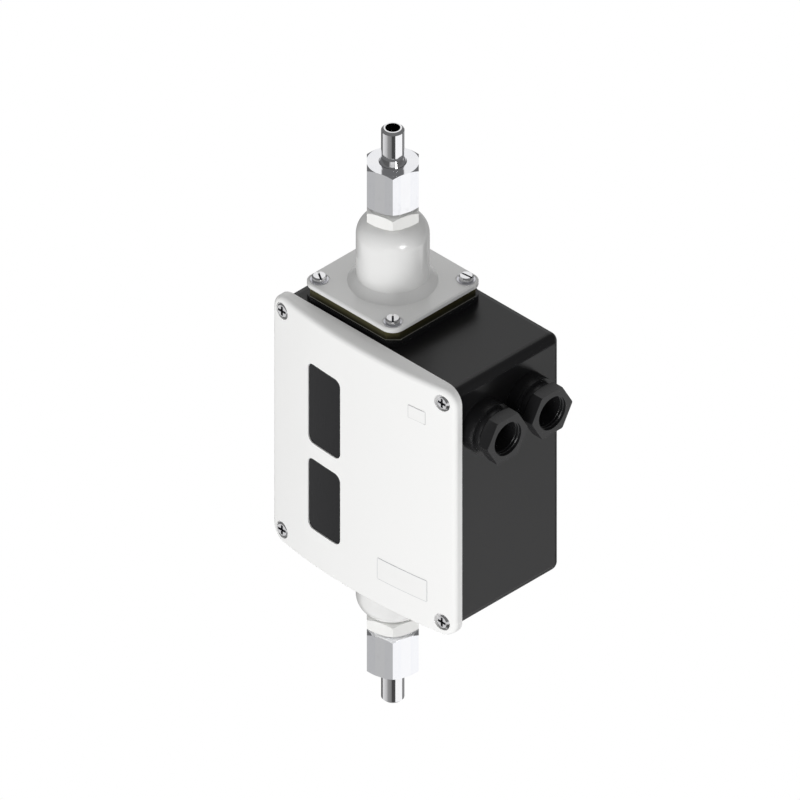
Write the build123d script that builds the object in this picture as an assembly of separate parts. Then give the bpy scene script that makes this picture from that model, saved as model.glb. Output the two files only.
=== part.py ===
from build123d import *
import math
import os

# Differential pressure switch: a black moulded housing with a bulged white front cover,
# two bellows elements on one vertical pressure axis, and two cable glands on the right wall.
# All sizes are in millimetres. X runs to the right, Y to the wall behind, Z up.
# The origin is on the back face of the housing, midway between the two wall-fixing holes.

# Housing
housing_w = 103.0
housing_d = 62.4
housing_h = 122.6
housing_wall = 3.0
housing_back = 3.5
housing_edge_r = 4.2
pad_front_margin = 2.0
pad_back_margin = 5.4
pad_corner_r = 6.0
upper_pad_h = 3.45
lower_pad_h = 3.35
axis_from_left = 35.1
corner_boss = 9.0
corner_boss_depth = 15.0
wall_hole_spacing = 82.0
wall_hole_r = 2.6
wall_boss_r = 5.0
wall_boss_h = 2.5

# Front cover
cover_overhang_x = 3.2
cover_overhang_z = 2.6
cover_side_d = 4.1
cover_bulge = 5.4
cover_wall = 2.5
cover_corner_r = 8.0
cover_edge_r = 2.3
cover_screw_inset_x = 3.6
cover_screw_inset_z = 4.55
cover_recess_r = 4.0
cover_recess_depth = 2.2
cover_boss_r = 6.4
cover_inner_corner_r = 3.0
gasket_w = 0.8
gasket_h = 1.3
gasket_inset = 0.4

# Windows in the cover
window_left_of_axis = 3.1
window_w = 20.8
window_corner_r = 3.5
upper_window_z = 20.65
upper_window_h = 41.0
lower_window_z = -26.1
lower_window_h = 36.5
pane_lap = 2.6
pane_t = 1.8
pane_sink = 0.5
pane_gap = 0.15

# Cross-recessed cover screws
cover_head_r = 3.75
cover_head_h = 2.3
cover_shank_r = 1.8
cover_head_cut = 1.0
cover_thread_len = 11.0
thread_run_out = 1.0
cross_w = 1.2
cross_len = 4.6
cross_depth = 1.4

# Sheet flange and deep-drawn cup of a bellows element
plate_inset = 0.5
plate_corner_cut = 4.4
plate_h = 4.6
flange_t = 2.15
flange_edge_cut = 0.5
cup_r = 15.7
cup_h = 33.3
cup_wall = 1.8
cup_shoulder_r = 9.3
cup_foot = 3.7

# Slotted flange screws
screw_inset = 5.5
flange_head_r = 3.25
flange_head_h = 2.0
flange_head_cut = 0.6
flange_shank_r = 2.0
flange_screw_grip = 1.0
slot_w = 0.9
slot_depth = 0.9
washer_r = 3.9
washer_t = 0.5
dimple_r = 4.6
dimple_depth = 0.25

# Pipe connection: connector, gasket, weld nipple and union nut
hex_af = 22.0
connector_hex_h = 6.1
connector_hex_cut = 1.5
connector_neck_r = 9.0
connector_neck_h = 1.7
connector_thread_r = 8.0
connector_thread_len = 12.9
connector_bore_r = 3.0
connector_spigot_r = 5.0
connector_collar_r = 6.3
connector_collar_h = 1.8
nut_h = 20.3
nut_hole_r = 6.0
nut_lip = 2.5
nut_chamfer = 1.5
nut_back_chamfer = 1.5
nipple_r = 5.0
nipple_bore_r = 3.25
nipple_out = 17.4
nipple_tip_chamfer = 1.1
nipple_foot_r = 5.8
nipple_flare_h = 3.0
nipple_head_r = 7.3
nipple_gasket_t = 1.5

# Bellows
bellows_outer_r = 12.6
bellows_inner_r = 8.6
bellows_wall = 0.5
bellows_folds = 5
bellows_len = 24.0
bellows_ring_lap = 1.0
bellows_ring_t = 1.4
bellows_cap_t = 2.5
bellows_cap_lap = 1.0

# Chassis
chassis_t = 2.5
chassis_inset = 1.5
chassis_web_half = 18.0
wing_side_margin = 5.0
wing_bottom_margin = 1.5
wing_top_margin = 3.0
wing_notch_gap = 1.0

# Main spindle and guides
spindle_r = 3.0
running_gap = 0.05
bush_r = 6.0
bush_flange_r = 9.0
bush_flange_t = 2.0
retainer_under_roof = 8.35
retainer_t = 3.0
retainer_r = 12.4
shoulder_r = 4.6
shoulder_t = 2.0
fork_over_floor = 7.85
fork_collar_r = 5.2
fork_collar_t = 1.5

# Setting disc with its threaded sleeve, and the shelf under it
disc_r = 18.0
disc_t = 10.0
disc_over_fork = 13.0
disc_edge_cut = 0.8
disc_flutes = 24
disc_flute_r = 1.2
disc_flute_out = 0.5
sleeve_r = 7.0
sleeve_bore_r = 3.6
sleeve_len = 50.5
journal_r = 6.5
shelf_t = 2.5
shelf_half = 12.0

# Spring seat with its pointer, guide rod and main spring
seat_over_disc = 26.5
seat_t = 6.0
seat_r = 12.4
spring_mean_r = 10.2
spring_wire_r = 1.2
spring_wire_sides = 6
spring_turns = 6
spring_end_gap = 0.3
guide_rod_r = 1.5
guide_rod_offset = 20.5
guide_lug_r = 3.6
pointer_w = 3.0
pointer_t = 1.0
pointer_foot_t = 2.0
pointer_rise = 18.0
pointer_offset = 13.6

# Range scale
scale_w = 8.5
scale_t = 1.0
scale_left_of_axis = 13.6
scale_under_seat = 4.0
scale_foot = 5.0

# Contact arm, its bracket and pin
pivot_from_axis = 22.4
arm_w = 10.0
arm_t = 2.0
arm_hub_r = 3.2
arm_tail = 15.0
pin_r = 1.5
bracket_t = 1.6
bracket_w = 12.0
bracket_shoulder = 2.0
pin_end = 1.0

# Switch
switch_past_disc = 9.4
switch_w = 22.0
switch_h = 21.0
switch_over_fork = 9.5
switch_before_axis = 5.1
switch_edge_cut = 1.0
plunger_r = 1.6
plunger_out = 4.0
plunger_in = 6.0
plunger_from_arm_end = 0.5
switch_screw_r = 1.5
switch_screw_inset = 4.0
switch_head_r = 2.85
switch_head_h = 1.8

# Terminal block
terminal_w = 24.0
terminal_h = 22.0
terminal_d = 24.0
terminal_step = 7.0
terminal_count = 3
terminal_rib_w = 1.4
terminal_floor = 2.0
terminal_screw_r = 1.8
terminal_screw_len = 8.0
terminal_head_r = 3.0
terminal_head_h = 2.0
small_slot_w = 0.8
small_slot_depth = 1.0
lead_len = 8.0
lead_w = 3.0
lead_t = 0.8

# Earth terminal
earth_inset_x = 8.5
earth_inset_z = 11.85
earth_boss_r = 6.0
earth_boss_h = 8.0
earth_screw_r = 2.0
earth_head_r = 3.8
earth_head_h = 2.6
earth_washer = 9.0
earth_washer_t = 1.2
earth_slot_w = 1.0
earth_slot_depth = 1.2

# Cable glands
gland_under_top = 23.1
gland_from_front = 14.45
gland_pitch = 26.65
gland_boss_r = 12.0
gland_boss_len = 6.8
gland_inner_len = 3.0
gland_shoulder_t = 2.0
gland_shoulder_r = 7.2
gland_hole_r = 9.4
gland_af = 21.1
gland_back_cut = 2.6
gland_hex_t = 6.8
gland_collar_r = 10.2
gland_collar_t = 2.5
gland_bore_r = 8.0
gland_chamfer = 0.3
gland_seal_t = 5.0
gland_seal_bore_r = 6.2
gland_washer_t = 1.0
gland_washer_bore_r = 7.0

# Clearances
fit_gap = 0.1
running_flat_gap = 0.3
hole_gap = 0.2
cut_over = 1.0

# Levels and places worked out from the sizes above
top_z = housing_h / 2
front_y = -housing_d
pad_size = housing_d - pad_front_margin - pad_back_margin
plate_size = pad_size - 2 * plate_inset
screw_pitch = pad_size - 2 * screw_inset
axis_x = axis_from_left - housing_w / 2
axis_y = -pad_back_margin - pad_size / 2
cover_w = housing_w + 2 * cover_overhang_x
cover_h = housing_h + 2 * cover_overhang_z
cover_screw_x = housing_w / 2 - cover_screw_inset_x
cover_screw_z = housing_h / 2 - cover_screw_inset_z
window_x = axis_x - window_left_of_axis
inner_x = housing_w / 2 - housing_wall
inner_z = housing_h / 2 - housing_wall
inner_back_y = -housing_back
upper_seat_z = top_z + upper_pad_h + plate_h
lower_seat_z = -top_z - lower_pad_h
cup_top = flange_t + cup_h
bellows_ring_r = cup_r - cup_wall + bellows_ring_lap
hex_top = cup_top + connector_hex_h
nut_bottom = hex_top + connector_neck_h
nut_top = nut_bottom + nut_h
thread_top = nut_bottom + connector_thread_len
gasket_top = thread_top + nipple_gasket_t
nipple_tip = nut_top + nipple_out
chassis_half = pad_size / 2 - chassis_inset
chassis_top = inner_z
chassis_inner = inner_z - chassis_t
fork_z = -chassis_inner + fork_over_floor
disc_bottom = fork_z + disc_over_fork
disc_top = disc_bottom + disc_t
shelf_top = disc_bottom - running_flat_gap
sleeve_top = disc_top + sleeve_len
seat_bottom = disc_top + seat_over_disc
seat_top = seat_bottom + seat_t
retainer_top = chassis_inner - retainer_under_roof
pointer_y = axis_y - pointer_offset
guide_rod_y = axis_y + guide_rod_offset
scale_left = axis_x - scale_left_of_axis
scale_bottom = seat_bottom - scale_under_seat
pivot_x = axis_x + pivot_from_axis
arm_end_x = pivot_x + arm_tail
arm_side = arm_w / 2 + running_flat_gap
mount_y = inner_back_y - chassis_t
switch_left = axis_x + disc_r + switch_past_disc
switch_right = switch_left + switch_w
switch_bottom = fork_z + switch_over_fork
switch_top = switch_bottom + switch_h
switch_front = axis_y - switch_before_axis
plunger_x = arm_end_x - plunger_r - plunger_from_arm_end
plunger_tip_z = switch_bottom - plunger_out
terminal_left = (switch_left + switch_right - terminal_w) / 2
terminal_right = terminal_left + terminal_w
terminal_bottom = switch_top + lead_len
terminal_top = terminal_bottom + terminal_h
terminal_mid = terminal_bottom + terminal_h / 2
terminal_front = mount_y - terminal_d
wing_right = switch_right + wing_side_margin
wing_bottom = switch_bottom - wing_bottom_margin
wing_top = terminal_top + wing_top_margin
earth_x = inner_x - earth_inset_x
earth_z = -inner_z + earth_inset_z
earth_seat_y = inner_back_y - earth_boss_h
gland_z = top_z - gland_under_top
gland_front_y = front_y + gland_from_front
gland_rear_y = gland_front_y + gland_pitch
half_pitch = screw_pitch / 2
screw_spots = [(sx * half_pitch, sy * half_pitch) for sx in (-1, 1) for sy in (-1, 1)]
cover_front_y = front_y - cover_side_d - cover_bulge
cover_arc_r = ((cover_w / 2) ** 2 + cover_bulge ** 2) / (2 * cover_bulge)
gland_face_x = housing_w / 2 + gland_boss_len + gland_collar_t + gland_hex_t
gland_seal_x = inner_x - gland_inner_len + gland_shoulder_t


# Basic forms
def block(x0, x1, y0, y1, z0, z1):
    size = Box(x1 - x0, y1 - y0, z1 - z0)
    return Pos((x0 + x1) / 2, (y0 + y1) / 2, (z0 + z1) / 2) * size


def upright(x, y, r, z0, z1):
    return Pos(x, y, (z0 + z1) / 2) * Cylinder(r, z1 - z0)


def along_y(x, z, r, y0, y1):
    return Pos(x, (y0 + y1) / 2, z) * Rot(90, 0, 0) * Cylinder(r, y1 - y0)


def along_x(y, z, r, x0, x1):
    return Pos((x0 + x1) / 2, y, z) * Rot(0, 90, 0) * Cylinder(r, x1 - x0)


def turned(points):
    return revolve(Plane.XZ * make_face(Polyline(*points, close=True)), Axis.Z)


def prism_xz(sketch, y0, y1):
    return Pos(0, y1, 0) * extrude(Plane.XZ * sketch, y1 - y0)


def hexagon(across_flats, first_corner_deg):
    corner_r = across_flats / math.sqrt(3)
    angles = [math.radians(first_corner_deg + 60 * i) for i in range(6)]
    return Polygon(*[(corner_r * math.cos(a), corner_r * math.sin(a)) for a in angles], align=None)


def hex_prism(across_flats, z0, z1, first_corner_deg, bottom_cut, top_cut):
    corner_r = across_flats / math.sqrt(3)
    body = Pos(0, 0, z0) * extrude(hexagon(across_flats, first_corner_deg), z1 - z0)
    slope = math.tan(math.radians(30))
    guard = turned([
        (0, z0), (corner_r - bottom_cut, z0), (corner_r, z0 + bottom_cut * slope),
        (corner_r, z1 - top_cut * slope), (corner_r - top_cut, z1), (0, z1),
    ])
    return body & guard


def upper(piece):
    return Pos(axis_x, axis_y, upper_seat_z) * piece


def lower(piece):
    return Pos(axis_x, axis_y, lower_seat_z) * Rot(0, 0, -90) * Rot(180, 0, 0) * piece


def together(pieces):
    return Compound(children=[solid for piece in pieces for solid in piece.solids()])


def save(name, piece):
    export_step(piece, f"parts/{name}.step")


# Housing: an open-fronted tub with a pad on top and below, corner bosses and gland bosses
def housing():
    body = block(-housing_w / 2, housing_w / 2, -housing_d, 0, -top_z, top_z)
    long_edges = body.edges().filter_by(Axis.Y)
    back_edges = body.faces().sort_by(Axis.Y)[-1].edges()
    body = fillet(long_edges + back_edges, housing_edge_r)
    pad = Pos(axis_x, axis_y, -top_z - lower_pad_h) * extrude(
        RectangleRounded(pad_size, pad_size, pad_corner_r), housing_h + lower_pad_h + upper_pad_h)
    bosses = [
        along_x(y, gland_z, gland_boss_r, inner_x - gland_inner_len, housing_w / 2 + gland_boss_len)
        for y in (gland_front_y, gland_rear_y)
    ]
    cavity = block(-inner_x, inner_x, -housing_d, inner_back_y, -inner_z, inner_z)
    cavity = fillet(cavity.edges().filter_by(Axis.Y), housing_wall / 2)
    boss_start = front_y + corner_boss_depth
    for sx in (-1, 1):
        for sz in (-1, 1):
            x_out = sx * inner_x
            z_out = sz * inner_z
            x_in = x_out - sx * (corner_boss - housing_wall)
            z_in = z_out - sz * (corner_boss - housing_wall)
            corner = block(min(x_in, x_out), max(x_in, x_out), front_y, boss_start,
                           min(z_in, z_out), max(z_in, z_out))
            cavity -= corner
    for sx in (-1, 1):
        x = sx * wall_hole_spacing / 2
        cavity -= along_y(x, 0, wall_boss_r, inner_back_y - wall_boss_h, inner_back_y)
    cavity -= along_y(earth_x, earth_z, earth_boss_r, earth_seat_y, inner_back_y)
    for y in (gland_front_y, gland_rear_y):
        cavity -= along_x(y, gland_z, gland_boss_r, inner_x - gland_inner_len, inner_x)
    body = body + pad + bosses - cavity
    for y in (gland_front_y, gland_rear_y):
        body -= along_x(y, gland_z, gland_hole_r, gland_seal_x, housing_w)
        body -= along_x(y, gland_z, gland_shoulder_r, 0, gland_seal_x)
    for sx in (-1, 1):
        for sz in (-1, 1):
            body -= along_y(sx * cover_screw_x, sz * cover_screw_z, cover_shank_r + fit_gap,
                            front_y, front_y + cover_thread_len + thread_run_out)
        body -= along_y(sx * wall_hole_spacing / 2, 0, wall_hole_r, -housing_d / 2, 0)
    body -= along_y(earth_x, earth_z, earth_screw_r + fit_gap, earth_seat_y, inner_back_y)
    body -= upright(axis_x, axis_y, bush_r + fit_gap, -housing_h, housing_h)
    for dx, dy in screw_spots:
        body -= upright(axis_x + dx, axis_y + dy, flange_shank_r + hole_gap, -housing_h, housing_h)
    return body


# Outline of the housing's front rim, moved in by an inset
def rim_outline(inset):
    return RectangleRounded(housing_w - 2 * inset, housing_h - 2 * inset, housing_edge_r - inset)


# Front cover: a rounded rectangle bulged about a vertical axis, shelled behind
def cover_form(inset, half_w, half_h, corner_r):
    y_far = cover_front_y - cut_over
    slab = prism_xz(RectangleRounded(2 * half_w, 2 * half_h, corner_r), y_far, front_y)
    r = cover_arc_r - inset
    drum = Pos(0, cover_front_y + cover_arc_r, 0) * Cylinder(r, 2 * cover_h)
    return slab & drum


def front_cover():
    body = cover_form(0, cover_w / 2, cover_h / 2, cover_corner_r)
    face = body.faces().sort_by(Axis.Y)[0]
    body = fillet(face.edges(), cover_edge_r)
    cavity = cover_form(cover_wall, inner_x, inner_z, cover_inner_corner_r)
    for sx in (-1, 1):
        for sz in (-1, 1):
            cavity -= along_y(sx * cover_screw_x, sz * cover_screw_z, cover_boss_r,
                              cover_front_y, front_y)
    body -= cavity
    head_seat = screw_seat_y()
    for sx in (-1, 1):
        for sz in (-1, 1):
            x = sx * cover_screw_x
            z = sz * cover_screw_z
            body -= along_y(x, z, cover_recess_r, cover_front_y, head_seat)
            body -= along_y(x, z, cover_shank_r + hole_gap, cover_front_y, front_y)
    for z, h in ((upper_window_z, upper_window_h), (lower_window_z, lower_window_h)):
        frame = RectangleRounded(window_w, h, window_corner_r)
        body -= Pos(window_x, 0, z) * prism_xz(frame, cover_front_y - cut_over, front_y)
    ring = rim_outline(gasket_inset)
    hole = rim_outline(gasket_inset + gasket_w)
    groove = prism_xz(ring - hole, front_y - gasket_h, front_y)
    return body - groove, groove


# Level of the seat under the cover screw heads, measured where the bulged front passes the screw
def screw_seat_y():
    drop = cover_arc_r - math.sqrt(cover_arc_r ** 2 - cover_screw_x ** 2)
    return cover_front_y + drop + cover_recess_depth


# Pane: a border behind the cover's wall and a raised centre that fills the opening
def pane_layer(z, w, h, outer_inset, inner_inset):
    outline = RectangleRounded(w, h, window_corner_r)
    column = Pos(window_x, 0, z) * prism_xz(outline, cover_front_y, front_y)
    centre = Pos(0, cover_front_y + cover_arc_r, 0)
    outer = centre * Cylinder(cover_arc_r - outer_inset, 2 * cover_h)
    inner = centre * Cylinder(cover_arc_r - inner_inset, 2 * cover_h)
    return column & outer - inner


def pane(z, h):
    back = cover_wall + pane_t
    border = pane_layer(z, window_w + 2 * pane_lap, h + 2 * pane_lap, cover_wall, back)
    raised = pane_layer(z, window_w - 2 * pane_gap, h - 2 * pane_gap, pane_sink, back)
    return border + raised


def cover_screw():
    seat = screw_seat_y()
    head = along_y(0, 0, cover_head_r, seat - cover_head_h, seat)
    rim = head.edges().filter_by(GeomType.CIRCLE).sort_by(Axis.Y)[0]
    head = chamfer(rim, cover_head_cut)
    shank = along_y(0, 0, cover_shank_r, seat, front_y + cover_thread_len)
    cross = block(-cross_len / 2, cross_len / 2, seat - cover_head_h, seat - cover_head_h + cross_depth,
                  -cross_w / 2, cross_w / 2)
    return head + shank - cross - Rot(0, 90, 0) * cross


# Bellows housing: square flange with a deep-drawn cup, in one sheet
def quarter_arc(centre, r, start_deg):
    points = [
        (centre[0] + r * math.cos(math.radians(start_deg + turn)),
         centre[1] + r * math.sin(math.radians(start_deg + turn)))
        for turn in (0, 45, 90)
    ]
    return ThreePointArc(*points)


def bellows_housing():
    inner_r = cup_r - cup_wall
    inner_top = cup_top - cup_wall
    shoulder_x = cup_r - cup_shoulder_r
    shoulder_z = cup_top - cup_shoulder_r
    foot_x = cup_r + cup_foot
    foot_z = flange_t + cup_foot
    inner_bend = cup_foot + cup_wall
    lines = [
        Line((connector_spigot_r, cup_top), (shoulder_x, cup_top)),
        quarter_arc((shoulder_x, shoulder_z), cup_shoulder_r, 0),
        Line((cup_r, shoulder_z), (cup_r, foot_z)),
        Line((cup_r, foot_z), (foot_x, flange_t)),
        Line((foot_x, flange_t), (foot_x, 0)),
        Line((foot_x, 0), (inner_r, inner_bend)),
        Line((inner_r, inner_bend), (inner_r, shoulder_z)),
        quarter_arc((shoulder_x, shoulder_z), cup_shoulder_r - cup_wall, 0),
        Line((shoulder_x, inner_top), (connector_spigot_r, inner_top)),
        Line((connector_spigot_r, inner_top), (connector_spigot_r, cup_top)),
    ]
    cup = revolve(Plane.XZ * make_face(Curve() + lines), Axis.Z)
    plate = extrude(RectangleRounded(pad_size, pad_size, pad_corner_r), flange_t)
    plate = chamfer(plate.faces().sort_by(Axis.Z)[-1].edges(), flange_edge_cut)
    plate -= upright(0, 0, foot_x, 0, flange_t)
    body = plate + cup
    for dx, dy in screw_spots:
        body -= upright(dx, dy, flange_shank_r + hole_gap, 0, flange_t)
        body -= upright(dx, dy, dimple_r, flange_t - dimple_depth, flange_t)
    return body


def flange_washers():
    z0 = flange_t - dimple_depth
    ring = upright(0, 0, washer_r, z0, z0 + washer_t)
    ring -= upright(0, 0, flange_shank_r + hole_gap, z0, z0 + washer_t)
    return together([Pos(dx, dy, 0) * ring for dx, dy in screw_spots])


def flange_screws(shank_len, slot_turns):
    z0 = flange_t - dimple_depth + washer_t
    head = upright(0, 0, flange_head_r, z0, z0 + flange_head_h)
    rim = head.edges().filter_by(GeomType.CIRCLE).sort_by(Axis.Z)[-1]
    head = chamfer(rim, flange_head_cut)
    shank = upright(0, 0, flange_shank_r, z0 - shank_len, z0)
    top = z0 + flange_head_h
    slot = block(-flange_head_r, flange_head_r, -slot_w / 2, slot_w / 2, top - slot_depth, top)
    solids = []
    for (dx, dy), turn in zip(screw_spots, slot_turns):
        solids.append(Pos(dx, dy, 0) * (head + shank - Rot(0, 0, turn) * slot))
    return together(solids)


# Connector: hexagon with a spigot in the cup and a thread for the union nut
def connector():
    inside = cup_top - cup_wall
    body = hex_prism(hex_af, cup_top, hex_top, -45, connector_hex_cut, connector_hex_cut)
    body += upright(0, 0, connector_neck_r, hex_top, nut_bottom)
    body += upright(0, 0, connector_thread_r, nut_bottom, thread_top)
    body += upright(0, 0, connector_spigot_r - fit_gap, inside, cup_top)
    body += upright(0, 0, connector_collar_r, inside - connector_collar_h, inside)
    return body - upright(0, 0, connector_bore_r, inside - connector_collar_h, thread_top)


def nipple_gasket():
    ring = upright(0, 0, nipple_head_r, thread_top, gasket_top)
    return ring - upright(0, 0, nipple_bore_r + hole_gap, thread_top, gasket_top)


def weld_nipple():
    head_top = nut_top - nut_lip
    tip_r = nipple_r - nipple_tip_chamfer
    return turned([
        (nipple_bore_r, gasket_top), (nipple_head_r, gasket_top), (nipple_head_r, head_top),
        (nipple_foot_r, head_top), (nipple_foot_r, nut_top), (nipple_r, nut_top + nipple_flare_h),
        (nipple_r, nipple_tip - nipple_tip_chamfer),
        (tip_r, nipple_tip), (nipple_bore_r, nipple_tip),
    ])


def union_nut():
    body = hex_prism(hex_af, nut_bottom, nut_top, -45, nut_back_chamfer, nut_chamfer)
    body -= upright(0, 0, nut_hole_r, nut_bottom, nut_top)
    return body - upright(0, 0, connector_thread_r + fit_gap, nut_bottom, nut_top - nut_lip)


# Bellows: corrugated tube on a ring that the flange clamps, closed by a cap
def bellows():
    pitch = (bellows_len - bellows_ring_t) / bellows_folds
    flat = pitch * 0.25
    wall = bellows_wall
    outside = []
    inside = []
    for i in range(bellows_folds):
        z = bellows_ring_t + i * pitch
        outside += [(bellows_inner_r + wall, z + flat), (bellows_outer_r, z + 2 * flat - wall / 2),
                    (bellows_outer_r, z + 3 * flat + wall / 2), (bellows_inner_r + wall, z + pitch)]
        inside += [(bellows_inner_r, z + flat + wall / 2), (bellows_outer_r - wall, z + 2 * flat),
                   (bellows_outer_r - wall, z + 3 * flat), (bellows_inner_r, z + pitch - wall / 2)]
    outside.pop()
    outside.append((bellows_inner_r + wall, bellows_len))
    inside[-1] = (bellows_inner_r, bellows_len)
    points = [(bellows_inner_r, 0), (bellows_ring_r, 0), (bellows_ring_r, bellows_ring_t),
              (bellows_inner_r + wall, bellows_ring_t)]
    return turned(points + outside + inside[::-1])


def bellows_cap():
    cap_r = bellows_inner_r + bellows_wall + bellows_cap_lap
    return upright(0, 0, cap_r, bellows_len, bellows_len + bellows_cap_t)


def adapter_plate():
    sketch = Rectangle(plate_size, plate_size)
    sketch = chamfer(sketch.vertices(), plate_corner_cut)
    body = Pos(axis_x, axis_y, top_z + upper_pad_h) * extrude(sketch, plate_h)
    for dx, dy in screw_spots:
        body -= upright(axis_x + dx, axis_y + dy, flange_shank_r + hole_gap, 0, housing_h)
    return body - upright(axis_x, axis_y, bush_r + fit_gap, 0, housing_h)


# Chassis: one bent sheet with top and bottom flanges, a wing for the switch and a shelf
def chassis():
    front = axis_y - chassis_half
    left = axis_x - chassis_half
    right = axis_x + chassis_half
    web = block(axis_x - chassis_web_half, axis_x + chassis_web_half, mount_y, inner_back_y,
                -chassis_top, chassis_top)
    wing = block(axis_x, wing_right, mount_y, inner_back_y, wing_bottom, wing_top)
    wing -= along_y(wall_hole_spacing / 2, 0, wall_boss_r + wing_notch_gap, mount_y, inner_back_y)
    top = block(left, right, front, inner_back_y, chassis_inner, chassis_top)
    bottom = block(left, right, front, inner_back_y, -chassis_top, -chassis_inner)
    shelf = block(axis_x - shelf_half, axis_x + shelf_half, axis_y - shelf_half, inner_back_y,
                  shelf_top - shelf_t, shelf_top)
    body = web + wing + top + bottom + shelf
    body -= upright(axis_x, axis_y, bush_r + fit_gap, -housing_h, -chassis_inner + fit_gap)
    body -= upright(axis_x, axis_y, bush_r + fit_gap, chassis_inner - fit_gap, housing_h)
    body -= upright(axis_x, axis_y, journal_r + running_gap, shelf_top - shelf_t, shelf_top)
    for dx, dy in screw_spots:
        body -= upright(axis_x + dx, axis_y + dy, flange_shank_r + fit_gap, -housing_h, housing_h)
    for x, z in switch_screw_spots():
        body -= along_y(x, z, switch_screw_r + fit_gap, mount_y, inner_back_y)
    return body


# Guide bushes and the spindle with what it carries
def guide_bush(seat, inner):
    sign = 1 if seat > 0 else -1
    flange_end = inner - sign * bush_flange_t
    body = upright(axis_x, axis_y, bush_r, min(seat, inner), max(seat, inner))
    body += upright(axis_x, axis_y, bush_flange_r, min(flange_end, inner), max(flange_end, inner))
    return body - upright(axis_x, axis_y, spindle_r + running_gap, -housing_h, housing_h)


def main_spindle():
    bottom = lower_seat_z - bellows_len
    top = upper_seat_z + bellows_len
    body = upright(axis_x, axis_y, spindle_r, bottom, top)
    body += upright(axis_x, axis_y, shoulder_r, retainer_top, retainer_top + shoulder_t)
    gap = arm_t / 2 + running_flat_gap
    for sign in (-1, 1):
        near = fork_z + sign * gap
        far = near + sign * fork_collar_t
        body += upright(axis_x, axis_y, fork_collar_r, min(near, far), max(near, far))
    return body


def spring_retainer():
    body = upright(axis_x, axis_y, retainer_r, retainer_top - retainer_t, retainer_top)
    return body - upright(axis_x, axis_y, spindle_r + fit_gap, 0, retainer_top)


def main_spring():
    bottom = seat_top + spring_end_gap
    top = retainer_top - retainer_t - spring_end_gap
    low = bottom + spring_wire_r
    high = top - spring_wire_r
    path = Helix((high - low) / spring_turns, high - low, spring_mean_r)
    start = Plane(origin=path @ 0, z_dir=path % 0)
    coil = sweep(start * RegularPolygon(spring_wire_r, spring_wire_sides), path)
    return Pos(axis_x, axis_y, low) * coil


def spring_seat():
    strip_left = axis_x - pointer_w / 2
    strip_right = axis_x + pointer_w / 2
    finger_left = scale_left + scale_w + running_flat_gap
    finger_top = seat_bottom + pointer_rise
    body = upright(axis_x, axis_y, seat_r, seat_bottom, seat_top)
    body += block(axis_x - guide_lug_r, axis_x + guide_lug_r, axis_y, guide_rod_y,
                  seat_bottom, seat_top)
    body += upright(axis_x, guide_rod_y, guide_lug_r, seat_bottom, seat_top)
    body += block(strip_left, strip_right, pointer_y, axis_y, seat_bottom, seat_bottom + pointer_foot_t)
    body += block(strip_left, strip_right, pointer_y - pointer_t, pointer_y, seat_bottom, finger_top)
    body += block(finger_left, axis_x, pointer_y - pointer_t, pointer_y,
                  finger_top - pointer_t, finger_top)
    body -= upright(axis_x, axis_y, sleeve_r + running_gap, seat_bottom, seat_top)
    return body - upright(axis_x, guide_rod_y, guide_rod_r + running_gap, seat_bottom, seat_top)


def guide_rod():
    return upright(axis_x, guide_rod_y, guide_rod_r, shelf_top, chassis_inner)


def setting_disc():
    body = upright(0, 0, disc_r, disc_bottom, disc_top)
    body = chamfer(body.edges().filter_by(GeomType.CIRCLE), disc_edge_cut)
    flute = upright(disc_r + disc_flute_out, 0, disc_flute_r, disc_bottom, disc_top)
    body -= [Rot(0, 0, 360 * i / disc_flutes) * flute for i in range(disc_flutes)]
    body += upright(0, 0, sleeve_r, disc_top, sleeve_top)
    body += upright(0, 0, journal_r, shelf_top - shelf_t, disc_bottom)
    body -= upright(0, 0, sleeve_bore_r, shelf_top - shelf_t, sleeve_top)
    return Pos(axis_x, axis_y, 0) * body


def range_scale():
    right = scale_left + scale_w
    body = block(scale_left, right, pointer_y - scale_t, pointer_y, scale_bottom, chassis_inner)
    foot = block(scale_left, right, pointer_y - scale_t, pointer_y + scale_foot,
                 chassis_inner - scale_t, chassis_inner)
    return body + foot


# Contact arm between the fork collars, on a pin in its bracket
def contact_arm():
    back_y = axis_y - arm_w / 2
    front_side_y = axis_y + arm_w / 2
    fork_side = spindle_r + running_flat_gap
    end_x = axis_x - fork_collar_r
    body = block(end_x, arm_end_x, back_y, front_side_y, fork_z - arm_t / 2, fork_z + arm_t / 2)
    body += along_y(pivot_x, fork_z, arm_hub_r, back_y, front_side_y)
    body -= block(end_x, axis_x, axis_y - fork_side, axis_y + fork_side, fork_z - arm_t, fork_z + arm_t)
    body -= upright(axis_x, axis_y, fork_side, fork_z - arm_t, fork_z + arm_t)
    body += block(arm_end_x - 2 * plunger_r - 2 * plunger_from_arm_end, arm_end_x,
                  axis_y - plunger_r, axis_y + plunger_r, fork_z, plunger_tip_z - running_flat_gap)
    return body - along_y(pivot_x, fork_z, pin_r + running_gap, back_y, front_side_y)


def arm_bracket():
    outside = arm_side + bracket_t
    half = bracket_w / 2
    ear_half = half - bracket_shoulder
    floor = -chassis_inner
    body = block(pivot_x - half, pivot_x + half, axis_y - outside, axis_y + outside,
                 floor, floor + bracket_t)
    for y in (axis_y - outside, axis_y + arm_side):
        body += block(pivot_x - ear_half, pivot_x + ear_half, y, y + bracket_t, floor, fork_z)
        body += along_y(pivot_x, fork_z, ear_half, y, y + bracket_t)
    return body - along_y(pivot_x, fork_z, pin_r + running_gap, axis_y - outside, axis_y + outside)


def arm_pin():
    half = arm_side + bracket_t + pin_end
    body = along_y(pivot_x, fork_z, pin_r, axis_y - half, axis_y + half)
    head_end = axis_y - half + pin_end - running_gap
    return body + along_y(pivot_x, fork_z, pin_r + pin_end, axis_y - half, head_end)


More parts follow.
